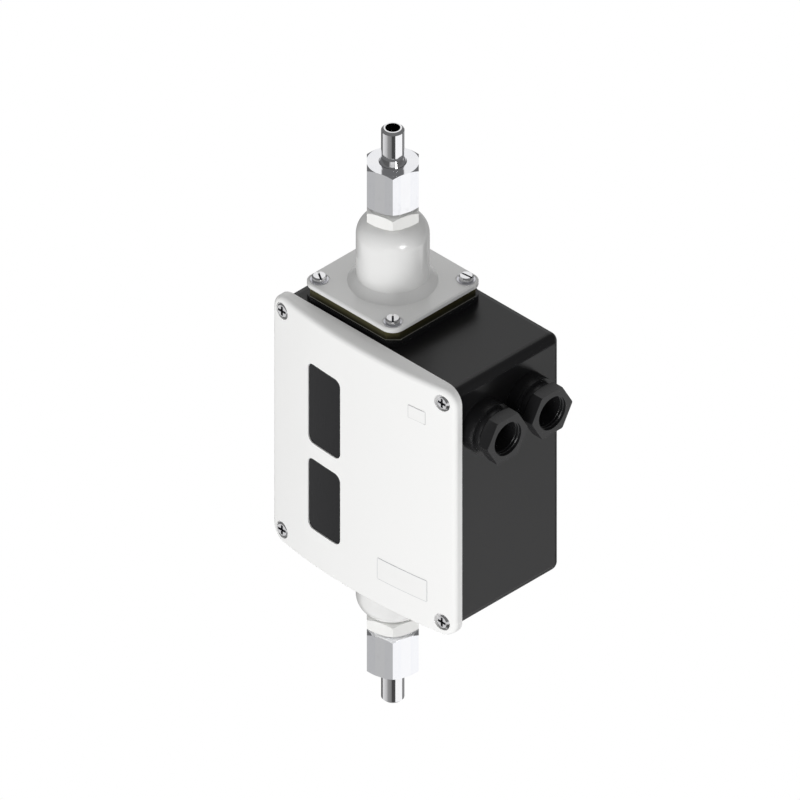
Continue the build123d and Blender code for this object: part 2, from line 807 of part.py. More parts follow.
# Switch on the wing of the chassis
def switch_screw_spots():
    return [(switch_left + switch_screw_inset, switch_top - switch_screw_inset),
            (switch_right - switch_screw_inset, switch_bottom + switch_screw_inset)]


def switch_block():
    body = block(switch_left, switch_right, switch_front, mount_y, switch_bottom, switch_top)
    body = chamfer(body.edges().filter_by(Axis.Y), switch_edge_cut)
    body -= upright(plunger_x, axis_y, plunger_r + running_gap, switch_bottom,
                    switch_bottom + plunger_in + cut_over)
    for x, z in switch_screw_spots():
        body -= along_y(x, z, switch_screw_r + hole_gap, switch_front, mount_y)
    return body


def switch_plunger():
    return upright(plunger_x, axis_y, plunger_r, plunger_tip_z, switch_bottom + plunger_in)


# Slotted screw along Y with the underside of its head at the seat
def slotted_screw(x, z, seat_y, head_r, head_h, shank_r, shank_len, slot_width, slot_deep):
    top = seat_y - head_h
    body = along_y(x, z, head_r, top, seat_y) + along_y(x, z, shank_r, seat_y, seat_y + shank_len)
    return body - block(x - head_r, x + head_r, top, top + slot_deep,
                        z - slot_width / 2, z + slot_width / 2)


def switch_screws():
    return together([
        slotted_screw(x, z, switch_front, switch_head_r, switch_head_h, switch_screw_r,
                      inner_back_y - switch_front, small_slot_w, small_slot_depth)
        for x, z in switch_screw_spots()
    ])


# Terminal block with its screws and the leads from the switch
def terminal_spots():
    pitch = terminal_w / terminal_count
    return [terminal_left + pitch * (i + 0.5) for i in range(terminal_count)]


def terminal_screw_z():
    return (terminal_bottom + terminal_mid) / 2


def terminal_block():
    body = block(terminal_left, terminal_right, terminal_front + terminal_step, mount_y,
                 terminal_bottom, terminal_top)
    body += block(terminal_left, terminal_right, terminal_front, mount_y, terminal_mid, terminal_top)
    for i in range(1, terminal_count):
        x = terminal_left + terminal_w * i / terminal_count
        body += block(x - terminal_rib_w / 2, x + terminal_rib_w / 2, terminal_front, mount_y,
                      terminal_bottom, terminal_mid)
    for x in terminal_spots():
        body -= along_y(x, terminal_screw_z(), terminal_screw_r + fit_gap, terminal_front,
                        mount_y - terminal_floor)
    return body


def terminal_screws():
    return together([
        slotted_screw(x, terminal_screw_z(), terminal_front + terminal_step, terminal_head_r,
                      terminal_head_h, terminal_screw_r, terminal_screw_len,
                      small_slot_w, small_slot_depth)
        for x in terminal_spots()
    ])


def contact_leads():
    y = (terminal_front + inner_back_y) / 2
    return together([
        block(x - lead_w / 2, x + lead_w / 2, y - lead_t / 2, y + lead_t / 2, switch_top, terminal_bottom)
        for x in terminal_spots()
    ])


def earth_terminal():
    half = earth_washer / 2
    washer_y = earth_seat_y - earth_washer_t
    plate = block(earth_x - half, earth_x + half, washer_y, earth_seat_y, earth_z - half, earth_z + half)
    screw = slotted_screw(earth_x, earth_z, washer_y, earth_head_r, earth_head_h, earth_screw_r,
                          earth_washer_t + earth_boss_h - thread_run_out, earth_slot_w, earth_slot_depth)
    return plate + screw


# Cable glands: nut, washer and seal in a boss, along X
def gland_nut():
    wall_x = housing_w / 2 + gland_boss_len
    spigot_x = gland_seal_x + gland_seal_t + gland_washer_t
    hexagon_part = hex_prism(gland_af, 0, gland_hex_t, 90, gland_back_cut, gland_chamfer)
    body = Pos(wall_x + gland_collar_t, 0, 0) * Rot(0, 90, 0) * hexagon_part
    body += along_x(0, 0, gland_collar_r, wall_x, wall_x + gland_collar_t)
    body += along_x(0, 0, gland_hole_r - fit_gap, spigot_x, wall_x)
    return body - along_x(0, 0, gland_bore_r, spigot_x, gland_face_x)


def gland_washer():
    x0 = gland_seal_x + gland_seal_t
    ring = along_x(0, 0, gland_hole_r - hole_gap, x0, x0 + gland_washer_t)
    return ring - along_x(0, 0, gland_washer_bore_r, x0, x0 + gland_washer_t)


def gland_seal():
    ring = along_x(0, 0, gland_hole_r - fit_gap, gland_seal_x, gland_seal_x + gland_seal_t)
    return ring - along_x(0, 0, gland_seal_bore_r, gland_seal_x, gland_seal_x + gland_seal_t)


# Write every piece
cover_body, gasket = front_cover()
save("housing", housing())
save("front_cover", cover_body)
save("cover_gasket", gasket)
save("upper_window", pane(upper_window_z, upper_window_h))
save("lower_window", pane(lower_window_z, lower_window_h))
save("cover_screws", together([
    Pos(sx * cover_screw_x, 0, sz * cover_screw_z) * cover_screw()
    for sx in (-1, 1) for sz in (-1, 1)
]))
save("chassis", chassis())
save("upper_adapter_plate", adapter_plate())

upper_shank = flange_t + plate_h + upper_pad_h + housing_wall + chassis_t + flange_screw_grip
lower_shank = flange_t + lower_pad_h + housing_wall + chassis_t + flange_screw_grip
for side, place, shank_len, turns in (
    ("upper", upper, upper_shank, (-32, 20, -45, 6)),
    ("lower", lower, lower_shank, (10, 75, -35, 40)),
):
    save(f"{side}_bellows_housing", place(bellows_housing()))
    save(f"{side}_flange_washers", place(flange_washers()))
    save(f"{side}_flange_screws", place(flange_screws(shank_len, turns)))
    save(f"{side}_connector", place(connector()))
    save(f"{side}_nipple_gasket", place(nipple_gasket()))
    save(f"{side}_weld_nipple", place(weld_nipple()))
    save(f"{side}_union_nut", place(union_nut()))
    save(f"{side}_bellows", place(bellows()))
    save(f"{side}_bellows_cap", place(bellows_cap()))

save("upper_guide_bush", guide_bush(upper_seat_z, chassis_inner))
save("lower_guide_bush", guide_bush(lower_seat_z, -chassis_inner))
save("main_spindle", main_spindle())
save("spring_retainer", spring_retainer())
save("main_spring", main_spring())
save("spring_seat", spring_seat())
save("guide_rod", guide_rod())
save("setting_disc", setting_disc())
save("range_scale", range_scale())
save("contact_arm", contact_arm())
save("arm_bracket", arm_bracket())
save("arm_pin", arm_pin())
save("switch_block", switch_block())
save("switch_plunger", switch_plunger())
save("switch_screws", switch_screws())
save("terminal_block", terminal_block())
save("terminal_screws", terminal_screws())
save("contact_leads", contact_leads())
save("earth_terminal", earth_terminal())
for name, y in (("front", gland_front_y), ("rear", gland_rear_y)):
    save(f"{name}_gland_nut", Pos(0, y, gland_z) * gland_nut())
    save(f"{name}_gland_washer", Pos(0, y, gland_z) * gland_washer())
    save(f"{name}_gland_seal", Pos(0, y, gland_z) * gland_seal())
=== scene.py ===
import math

import bmesh
import bpy
from mathutils import Matrix, Vector
from mathutils.bvhtree import BVHTree


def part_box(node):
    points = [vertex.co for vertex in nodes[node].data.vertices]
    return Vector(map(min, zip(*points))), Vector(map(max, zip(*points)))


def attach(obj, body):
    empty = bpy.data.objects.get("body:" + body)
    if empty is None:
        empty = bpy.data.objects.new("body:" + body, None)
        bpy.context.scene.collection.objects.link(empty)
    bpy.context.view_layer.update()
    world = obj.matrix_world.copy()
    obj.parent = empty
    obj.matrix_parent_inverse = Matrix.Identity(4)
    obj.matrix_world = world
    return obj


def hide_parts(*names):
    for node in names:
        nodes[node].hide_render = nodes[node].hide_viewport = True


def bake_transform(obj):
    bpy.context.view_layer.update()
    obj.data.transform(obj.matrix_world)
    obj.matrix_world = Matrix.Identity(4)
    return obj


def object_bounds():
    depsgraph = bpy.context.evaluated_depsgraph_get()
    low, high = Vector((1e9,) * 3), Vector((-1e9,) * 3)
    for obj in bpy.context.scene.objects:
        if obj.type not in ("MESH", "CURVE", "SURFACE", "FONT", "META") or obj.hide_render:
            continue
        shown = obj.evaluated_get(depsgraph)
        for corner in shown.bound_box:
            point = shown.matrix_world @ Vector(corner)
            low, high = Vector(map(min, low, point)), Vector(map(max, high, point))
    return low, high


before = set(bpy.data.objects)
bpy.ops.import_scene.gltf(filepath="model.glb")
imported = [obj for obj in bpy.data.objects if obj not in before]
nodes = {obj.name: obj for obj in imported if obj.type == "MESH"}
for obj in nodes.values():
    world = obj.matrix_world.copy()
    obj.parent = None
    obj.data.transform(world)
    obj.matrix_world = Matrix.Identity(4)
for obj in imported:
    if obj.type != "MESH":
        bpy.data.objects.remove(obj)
cad_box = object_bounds()

# The photograph is an isometric view: its size, its scale and the place of the pressure axis in it
PICTURE_PX = 800
PX_PER_M = 2360
AXIS_PX = Vector((392.8, 412.6))
AZIMUTH = math.radians(45)
ELEVATION = math.radians(35.264)
CAMERA_DISTANCE = 1.5
CAMERA_CLIP = (0.01, 20)

# Places read from the model
upper_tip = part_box("upper_weld_nipple")
lower_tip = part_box("lower_weld_nipple")
axis_x = (upper_tip[0].x + upper_tip[1].x) / 2
axis_y = (upper_tip[0].y + upper_tip[1].y) / 2
middle_z = (upper_tip[1].z + lower_tip[0].z) / 2
cover_front_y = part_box("front_cover")[0].y

# Levels of light, where 1 shows a colour as it is written. The key shines up from below the horizon
WORLD_LEVEL = 0.46
KEY_LEVEL = 0.71
KEY_FROM = Vector((0.46, -0.88, -0.35)).normalized()
FILL_LEVEL = 0.3
FILL_FROM = Vector((-0.7, 0.7, 0.05))
SUN_SPREAD = math.radians(40)

# What polished things see above them: dim all round, with one broad card high at the back. It begins
# at the first value of its facing and is full at the second, where 1 is its very middle
DIM_LEVEL = 0.15
CARD_LEVEL = 0.88
CARD_FROM = Vector((-1, 1, 1)).normalized()
CARD_FACING = (0.8, 0.95)

# A small lamp on the horizon, right of the viewer, that glossy paint shows as one highlight
LAMP_LEVEL = 13.0
LAMP_FROM = Vector((0.958, -0.284, 0.02)).normalized()
LAMP_FACING = (0.985, 0.993)

# Floor: how far it lies below the object, its size, and its colour where it is lit by the lamps
FLOOR_DROP = 0.9
FLOOR_SIZE = 12
FLOOR_COLOUR = (0.8, 0.8, 0.8, 1)
FLOOR_ROUGH = 0.9

# What polished metal sees all round it on the floor: degrees from the viewer, and brightness. The
# far cards take over from the near ones FAR_FROM away from the pressure axis
CARDS_START = -135
NEAR_CARDS = ((-135, 0.08), (-119, 0.08), (-115, 0.75), (-85, 0.65), (-57, 0.47), (-50, 0.3),
              (-12, 0.2), (-9, 0.06), (24, 0.06), (27, 1.0), (105, 1.0), (109, 0.09), (131, 0.09),
              (135, 0.55), (180, 0.3), (225, 0.08))
FAR_CARDS = ((-135, 0.1), (-32, 0.1), (-16, 0.75), (18, 0.75), (34, 0.12), (100, 0.12),
             (110, 0.5), (225, 0.1))
FAR_FROM = 2.3
FAR_BLEND = 0.3

# Masks on a surface are worked out in millimetres
MM_PER_M = 1000

# Screw heads: their radius, and how far out the painted shade that darkens their slots reaches. The
# shade starts between two depths under the top and ends softly, in millimetres
FLANGE_HEAD_R = 0.00325
FLANGE_SLOT_SHADE_R = FLANGE_HEAD_R - 0.0007
COVER_HEAD_R = 0.00375
COVER_SLOT_SHADE_R = COVER_HEAD_R - 0.0008
SLOT_SHADE_DEPTHS = (0.08, 0.3)
SLOT_SHADE_SOFT = 0.12

# Chromated plate, in millimetres above its lower edge: where it darkens and its painted highlight
# line
DARKENING_HEIGHTS = (3.2, 0.8)
HIGHLIGHT_LINE_HEIGHTS = (0.5, 0.38)

# The two bare plates on the cover, by their middle and size across and up. Strips let them bend, the
# underside is sunk into the cover, and the field inside a rim has a share of the rim's height. The
# line round a plate is soft by so many millimetres, and probes for the cover start in front of it
LABEL_SIZE = Vector((0.0273, 0.01095))
LABEL_AT = Vector((0.02665, -0.0441))
BADGE_SIZE = Vector((0.00985, 0.0069))
BADGE_AT = Vector((0.0347, 0.04515))
PLATE_STRIPS = 12
PLATE_CORNER_STEPS = 5
PLATE_SINK = 0.00005
PLATE_FIELD = 0.4
PLATE_LINE_SOFT = 0.05
PROBE_START = 0.01

# Thread in the mouth of a gland nut. Its section is given along the bore and out from its wall
GLAND_BORE_R = 0.008
THREAD_PITCH = 0.0015
THREAD_DEPTH = 0.0048
THREAD_TURNS = 2.4
THREAD_STEPS = 48
THREAD_SECTION = ((0, 0.0002), (0.00035, -0.0004), (0.00075, -0.0004), (0.0011, 0.0002))

# Print on the range scale: each fifth mark is long and has a number. Marks and their prints are
# sized across, through and up
MARK_COUNT = 31
MARKS_PER_NUMBER = 5
LONG_MARK = (0.0030, 0.00006, 0.00025)
SHORT_MARK = (0.0017, 0.00006, 0.00016)
MARK_MARGIN = 0.0004
MARKS_ABOVE_BOTTOM = 0.004
MARKS_BELOW_TOP = 0.012
NUMBER_HEIGHT = 0.0034
NUMBER_THICK = 0.00003
NUMBER_MARGIN = 0.0028

# Main spring: how much of its upper end is cut off as a piece of its own. Loose triangles of
# a CAD mesh are joined where their corners are this close
SPRING_SPLIT = 0.006
MERGE_WITHIN = 1e-7


# Camera: orthographic, so lines stay parallel as they are in the photograph
def set_camera():
    toward = Vector((math.sin(AZIMUTH) * math.cos(ELEVATION),
                     -math.cos(AZIMUTH) * math.cos(ELEVATION),
                     math.sin(ELEVATION)))
    right = Vector((math.cos(AZIMUTH), math.sin(AZIMUTH), 0))
    up = toward.cross(right)
    aim = Vector((axis_x, axis_y, middle_z))
    middle = Vector((PICTURE_PX / 2, PICTURE_PX / 2))
    aim += right * ((middle.x - AXIS_PX.x) / PX_PER_M)
    aim += up * ((AXIS_PX.y - middle.y) / PX_PER_M)
    data = bpy.data.cameras.new("camera")
    data.type = "ORTHO"
    data.ortho_scale = PICTURE_PX / PX_PER_M
    data.clip_start, data.clip_end = CAMERA_CLIP
    camera = bpy.data.objects.new("camera", data)
    camera.matrix_world = Matrix.Translation(aim + toward * CAMERA_DISTANCE) @ Matrix(
        (right, up, toward)).transposed().to_4x4()
    bpy.context.scene.collection.objects.link(camera)
    bpy.context.scene.camera = camera


# Shader arithmetic: a socket that adds Math nodes when it is used in an expression
class Link:
    def __init__(self, finish, socket):
        self.finish = finish
        self.socket = socket

    def maths(self, operation, left, right=None):
        inputs = {0: left} if right is None else {0: left, 1: right}
        return self.finish.add("ShaderNodeMath", {"operation": operation}, inputs).out()

    def __add__(self, other):
        return self.maths("ADD", self, other)

    def __sub__(self, other):
        return self.maths("SUBTRACT", self, other)

    def __mul__(self, other):
        return self.maths("MULTIPLY", self, other)

    def __pow__(self, other):
        return self.maths("POWER", self, other)

    def __radd__(self, other):
        return self.maths("ADD", other, self)

    def __rsub__(self, other):
        return self.maths("SUBTRACT", other, self)

    def __rmul__(self, other):
        return self.maths("MULTIPLY", other, self)

    def __abs__(self):
        return self.maths("ABSOLUTE", self)

    # The same value held between 0 and 1
    def clamped(self):
        return self.finish.add("ShaderNodeMath", {"operation": "ADD", "use_clamp": True},
                               {0: self, 1: 0.0}).out()


# A node that was added, whose outputs come out as links
class Added:
    def __init__(self, finish, node):
        self.finish = finish
        self.node = node

    def out(self, name=0):
        return Link(self.finish, self.node.outputs[name])


# The nodes of one material or world. Noise scales are per metre, and depths of bumps are in metres
class Finish:
    def __init__(self, tree):
        self.tree = tree

    def add(self, kind, settings=None, inputs=None):
        node = self.tree.nodes.new(kind)
        for name, value in (settings or {}).items():
            if name == "stops":
                ramp = node.color_ramp.elements
                while len(ramp) < len(value):
                    ramp.new(0.5)
                for stop, (place, level) in zip(ramp, value):
                    stop.position = place
                    stop.color = (level, level, level, 1)
            else:
                setattr(node, name, value)
        for name, value in (inputs or {}).items():
            self.feed(node.inputs[name], value)
        return Added(self, node)

    def feed(self, socket, value):
        if isinstance(value, Link):
            self.tree.links.new(value.socket, socket)
        else:
            socket.default_value = value

    def place(self):
        return self.add("ShaderNodeTexCoord").out("Object")

    # Place stretched along one axis, for grain that runs one way
    def stretched(self, across, along, axis):
        scale = [across, across, across]
        scale["xyz".index(axis)] = along
        return self.add("ShaderNodeMapping", {}, {"Vector": self.place(), "Scale": scale}).out()

    def noise(self, scale, detail=4.0, roughness=0.55, vector=None):
        inputs = {"Scale": scale, "Detail": detail, "Roughness": roughness,
                  "Vector": vector or self.place()}
        return self.add("ShaderNodeTexNoise", {}, inputs).out("Fac")

    def step(self, value, low, high):
        return self.add("ShaderNodeMapRange", {"interpolation_type": "SMOOTHSTEP"},
                        {"Value": value, "From Min": low, "From Max": high}).out()

    # Two colours mixed. The Mix node's sockets 6 and 7 and its output 2 are the ones for colours
    def blend(self, amount, first, second):
        mix = self.add("ShaderNodeMix", {"data_type": "RGBA"})
        for index, value in ((0, amount), (6, first), (7, second)):
            self.feed(mix.node.inputs[index],
                      value if isinstance(value, (Link, float)) else (*value, 1))
        return mix.out(2)

    def bump(self, height, depth, strength=1.0, normal=None):
        inputs = {"Height": height, "Distance": depth, "Strength": strength}
        if normal is not None:
            inputs["Normal"] = normal
        return self.add("ShaderNodeBump", {}, inputs).out()

    # Painted shade that darkens the slots of four screw heads set square about a middle: inside a
    # radius on each head and under its top. The way is 1 or -1, as the heads point up or down the
    # axis
    def slots(self, middle, spread, radius, top, axis, way):
        parts = self.add("ShaderNodeSeparateXYZ", {}, {0: self.place()})
        across, along = [name for name in "XYZ" if name != axis]
        u = abs(parts.out(across) - middle[0]) - spread[0]
        v = abs(parts.out(along) - middle[1]) - spread[1]
        reach = (u * u + v * v) ** 0.5
        inside = self.step(reach * MM_PER_M, radius * MM_PER_M, radius * MM_PER_M - SLOT_SHADE_SOFT)
        deep = self.step((top - parts.out(axis)) * way * MM_PER_M, *SLOT_SHADE_DEPTHS)
        return inside * deep

    # Outer edges, where handling polishes a surface or wears it through
    def edges(self, low, high):
        point = self.add("ShaderNodeNewGeometry").out("Pointiness")
        return self.step(point, low, high)


# Colour written as six hexadecimal digits, turned into Blender's linear values
def srgb(text):
    channels = [int(text[i:i + 2], 16) / 255 for i in (0, 2, 4)]
    return tuple(c / 12.92 if c <= 0.04045 else ((c + 0.055) / 1.055) ** 2.4 for c in channels)


def shade(colour, factor):
    return tuple(min(1.0, c * factor) for c in colour)


# New material with its fixed values, given by socket name
def surface(name, **fixed):
    material = bpy.data.materials.new(name)
    material.use_nodes = True
    tree = material.node_tree
    shader = tree.nodes["Principled BSDF"]
    for key, value in fixed.items():
        shader.inputs[key.replace("_", " ")].default_value = value
    return material, Finish(tree), shader


# White cover: injection-moulded, fine even grain, soft gloss and a little handling haze
def white_moulding():
    colour = srgb("F8F8F7")
    material, f, shader = surface("white_moulding", IOR=1.45)
    haze = f.noise(34, 5)
    grain = f.noise(2600, 2)
    rub = f.edges(0.52, 0.6)
    cloud = f.noise(9, 3)
    speck = f.step(f.noise(1100, 2), 0.7, 0.78)
    base = f.blend(cloud * 0.6, colour, shade(colour, 0.97))
    f.feed(shader.inputs["Base Color"], f.blend(speck * 0.05, base, srgb("A8A69E")))
    f.feed(shader.inputs["Roughness"], 0.36 + haze * 0.14 - rub * 0.1)
    wave = f.bump(cloud, 0.00015, 0.3)
    f.feed(shader.inputs["Normal"], f.bump(grain, 0.00001, 0.5, wave))
    return material


# Black mouldings: near-black thermoset with a fine eroded texture and paler worn edges
def black_moulding(name, text, rough, wear):
    colour = srgb(text)
    material, f, shader = surface(name, IOR=1.4)
    cloud = f.noise(22, 5)
    grain = f.noise(1900, 3)
    speck = f.step(f.noise(700, 2), 0.62, 0.8)
    streaks = f.noise(1, 3, 0.6, f.stretched(60, 900, "z"))
    scuff = f.step(streaks, 0.66, 0.8) * f.step(cloud, 0.5, 0.7)
    rub = f.edges(0.51, 0.58) * wear
    base = f.blend(cloud, shade(colour, 0.85), shade(colour, 1.2))
    worn = f.blend((rub * 0.5 + speck * 0.1).clamped(), base, shade(colour, 2.4))
    f.feed(shader.inputs["Base Color"], worn)
    f.feed(shader.inputs["Roughness"], rough + cloud * 0.08 + scuff * 0.08 - rub * 0.06)
    f.feed(shader.inputs["Normal"], f.bump(grain, 0.000012, 0.4))
    return material


# Stove-enamelled steel: pale grey gloss paint with orange peel, thin on the edges
def gloss_paint(name, text, worn):
    colour = srgb(text)
    material, f, shader = surface(name, IOR=1.5, Coat_Roughness=0.04, Coat_IOR=1.5)
    cloud = f.noise(28, 4)
    peel = f.noise(520, 2)
    dust = f.step(f.noise(1500, 1), 0.7, 0.8)
    rub = f.edges(0.53, 0.62)
    base = f.blend(cloud * 0.6, colour, shade(colour, 0.96))
    f.feed(shader.inputs["Base Color"], f.blend(rub * worn, base, shade(colour, 0.8)))
    f.feed(shader.inputs["Roughness"], 0.2 + cloud * 0.1 + dust * 0.1)
    f.feed(shader.inputs["Coat Weight"], 0.4 + cloud * 0.2)
    f.feed(shader.inputs["Normal"], f.bump(peel, 0.00003, 0.3))
    return material


# Turned and plated metal: fine rings round an axis, small stains, brighter edges, and painted shade
# that darkens the slots of screw heads where it is given
def plated(name, text, rough, axis, stained=0.5, slot_shading=None, slot_shade_text="33333A"):
    colour = srgb(text)
    material, f, shader = surface(name, Metallic=1.0)
    rings = f.noise(1, 3, 0.6, f.stretched(60, 5200, axis))
    stain = f.noise(140, 6, 0.6)
    spots = f.step(f.noise(420, 4), 0.58, 0.78)
    rub = f.edges(0.52, 0.62)
    base = f.blend(stain * stained, colour, shade(colour, 0.86))
    base = f.blend(spots * stained * 0.6, base, shade(colour, 0.7))
    base = f.blend(rub * 0.5, base, shade(colour, 1.15))
    wear = rough + stain * 0.06 + spots * 0.08 - rub * 0.03
    # Painted shade: the slots of the screw heads are darkened in colour
    if slot_shading:
        slot_shade = f.slots(*slot_shading)
        base = f.blend(slot_shade, base, srgb(slot_shade_text))
        wear = wear + slot_shade * 0.4
    f.feed(shader.inputs["Base Color"], base)
    f.feed(shader.inputs["Roughness"], wear)
    f.feed(shader.inputs["Normal"], f.bump(rings, 0.000012, 0.35))
    return material


# Yellow-chromated sheet: dark film with a drifting tint over rolled steel. Where the height of its
# lower edge is given, in millimetres, it darkens downwards and has a painted highlight line there
def chromated(name, dark, pale, rough, edge=None):
    material, f, shader = surface(name)
    drift = f.noise(45, 5, 0.6)
    rolled = f.noise(1, 3, 0.6, f.stretched(2600, 90, "x"))
    rub = f.edges(0.52, 0.6)
    tint = f.blend(f.step(drift, 0.3, 0.72), srgb(dark), srgb(pale))
    tint = f.blend(rub * 0.4, tint, srgb("8C8760"))
    f.feed(shader.inputs["Metallic"], 0.8)
    if edge is not None:
        height = f.add("ShaderNodeSeparateXYZ", {}, {0: f.place()}).out("Z") * MM_PER_M
        # Darker towards the lower edge
        darker_below = f.step(height, *[edge + level for level in DARKENING_HEIGHTS])
        tint = f.blend(darker_below * 0.55, tint, srgb("0E0D0A"))
        # Painted highlight: a pale, less metallic line along the lower edge
        line = f.step(height, *[edge + level for level in HIGHLIGHT_LINE_HEIGHTS])
        tint = f.blend(line, tint, srgb("84847C"))
        f.feed(shader.inputs["Metallic"], 0.8 - line * 0.7)
    f.feed(shader.inputs["Base Color"], tint)
    f.feed(shader.inputs["Roughness"], rough + drift * 0.2)
    f.feed(shader.inputs["Normal"], f.bump(rolled, 0.00001, 0.4))
    return material


# Smoked window pane, with moulding haze and hair-fine scratches
def smoked_pane():
    material, f, shader = surface("smoked_pane", IOR=1.3)
    haze = f.noise(60, 4)
    scratch = f.step(f.noise(1, 2, 0.5, f.stretched(90, 2400, "x")), 0.66, 0.8)
    f.feed(shader.inputs["Base Color"], f.blend(haze, srgb("141416"), srgb("1A1A1C")))
    f.feed(shader.inputs["Roughness"], 0.14 + haze * 0.08 + scratch * 0.15)
    f.feed(shader.inputs["Alpha"], 0.94 - haze * 0.04)
    f.feed(shader.inputs["Normal"], f.bump(scratch, 0.000004, 0.4))
    return material


# Rubber of the seals, matt with a dusty bloom
def seal_rubber():
    material, f, shader = surface("seal_rubber", IOR=1.4)
    bloom = f.noise(160, 5)
    grain = f.noise(2200, 2)
    f.feed(shader.inputs["Base Color"], f.blend(bloom, srgb("141415"), srgb("202021")))
    f.feed(shader.inputs["Roughness"], 0.62 + bloom * 0.25)
    f.feed(shader.inputs["Normal"], f.bump(grain, 0.00002, 0.5))
    return material


# Satin face of a blank plate, with a shaded hairline round it
def blank_plate(name, at, size, edge, text):
    material, f, shader = surface(name, IOR=1.45)
    parts = f.add("ShaderNodeSeparateXYZ", {}, {0: f.place()})
    side = abs(parts.out("X") - at.x) - (size.x / 2 - edge)
    end = abs(parts.out("Z") - at.y) - (size.y / 2 - edge)
    outside = f.add("ShaderNodeMath", {"operation": "MAXIMUM"}, {0: side, 1: end}).out()
    line = f.step(outside * MM_PER_M, -PLATE_LINE_SOFT, PLATE_LINE_SOFT)
    brushed = f.noise(1, 3, 0.6, f.stretched(3000, 90, "x"))
    smear = f.noise(120, 5)
    base = f.blend(smear * 0.5, srgb("F6F6F5"), srgb("F0F0EF"))
    f.feed(shader.inputs["Base Color"], f.blend(line, base, srgb(text)))
    f.feed(shader.inputs["Roughness"], 0.26 + smear * 0.14)
    f.feed(shader.inputs["Normal"], f.bump(brushed, 0.000006, 0.3))
    return material


# Print on the range scale, a little uneven
def scale_ink():
    material, f, shader = surface("scale_ink", IOR=1.4)
    patchy = f.noise(900, 4)
    f.feed(shader.inputs["Base Color"], f.blend(patchy, srgb("141416"), srgb("2A2A2C")))
    f.feed(shader.inputs["Roughness"], 0.45 + patchy * 0.2)
    f.feed(shader.inputs["Normal"], f.bump(patchy, 0.000004, 0.3))
    return material


def dress(material, *names):
    for name in names:
        slots = nodes[name].data.materials
        slots.clear()
        slots.append(material)


def both(name):
    return [f"upper_{name}", f"lower_{name}"]


# Where the painted shade lies in the slots of a node's four screws, as Finish.slots takes it
def head_slot_shade(name, head_radius, radius, axis, way):
    low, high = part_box(name)
    middle = (low + high) / 2
    spread = (high - low) / 2 - Vector((head_radius,) * 3)
    up = "XYZ".index(axis)
    sides = [i for i in range(3) if i != up]
    top = high[up] if way > 0 else low[up]
    return [middle[i] for i in sides], [spread[i] for i in sides], radius, top, axis, way


def dress_all():
    dress(white_moulding(), "front_cover")
    dress(black_moulding("black_housing", "19191A", 0.25, 0.6), "housing")
    dress(black_moulding("gland_moulding", "1C1C1D", 0.24, 0.4), "front_gland_nut", "rear_gland_nut")
    dress(black_moulding("inner_moulding", "2C2522", 0.4, 0.3),
          "switch_block", "terminal_block", "switch_plunger")
    dress(seal_rubber(), "cover_gasket", "front_gland_seal", "rear_gland_seal")
    dress(smoked_pane(), "upper_window", "lower_window")
    dress(gloss_paint("grey_enamel", "EBEBEA", 0.3), *both("bellows_housing"))
    dress(gloss_paint("white_enamel", "F4F4F2", 0.1), *both("connector"))
    plate_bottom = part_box("upper_adapter_plate")[0].z * MM_PER_M
    dress(chromated("chromated_plate", "1A170A", "302C0E", 0.22, plate_bottom),
          "upper_adapter_plate")
    dress(chromated("chromated_sheet", "8F8450", "A89C66", 0.3), "chassis", "arm_bracket")
    dress(plated("nickel_nut", "F6F7FC", 0.12, "z", 0.15), *both("union_nut"))
    dress(plated("mirror_nickel", "F8F8FA", 0.05, "z", 0.2), *both("weld_nipple"))
    # The flange and cover screws get painted shade in their slots
    for name, way in (("upper_flange_screws", 1), ("lower_flange_screws", -1)):
        slot_shading = head_slot_shade(name, FLANGE_HEAD_R, FLANGE_SLOT_SHADE_R, "Z", way)
        dress(plated(name + "_zinc", "F4F4F6", 0.18, "z", 0.3, slot_shading), name)
    dress(plated("zinc_washers", "DCDCE2", 0.34, "z", 0.3), *both("flange_washers"))
    slot_shading = head_slot_shade("cover_screws", COVER_HEAD_R, COVER_SLOT_SHADE_R, "Y", -1)
    dress(plated("cover_screw_zinc", "F6F6F8", 0.16, "y", 0.3, slot_shading, "8A8A90"), "cover_screws")
    dress(plated("small_zinc", "DCDCDE", 0.22, "y"), "earth_terminal", "switch_screws",
          "terminal_screws", "arm_pin", "front_gland_washer", "rear_gland_washer")
    dress(plated("ground_steel", "C8C8CC", 0.2, "z"), "main_spindle", "guide_rod")
    dress(plated("spring_wire", "6C6E74", 0.3, "z"), "main_spring")
    dress(plated("yellow_brass", "D2AC58", 0.26, "z"), *both("bellows"), *both("bellows_cap"),
          *both("guide_bush"), "spring_retainer", "spring_seat", "contact_arm", "contact_leads")
    dress(plated("bare_aluminium", "CCCED0", 0.34, "z"), *both("nipple_gasket"), "range_scale",
          "setting_disc")


# Object made of a finished bmesh and one material
def made(mesh, name, material):
    data = bpy.data.meshes.new(name)
    mesh.to_mesh(data)
    mesh.free()
    data.materials.append(material)
    piece = bpy.data.objects.new(name, data)
    bpy.context.scene.collection.objects.link(piece)
    return piece


def everything(mesh):
    return mesh.verts[:] + mesh.edges[:] + mesh.faces[:]


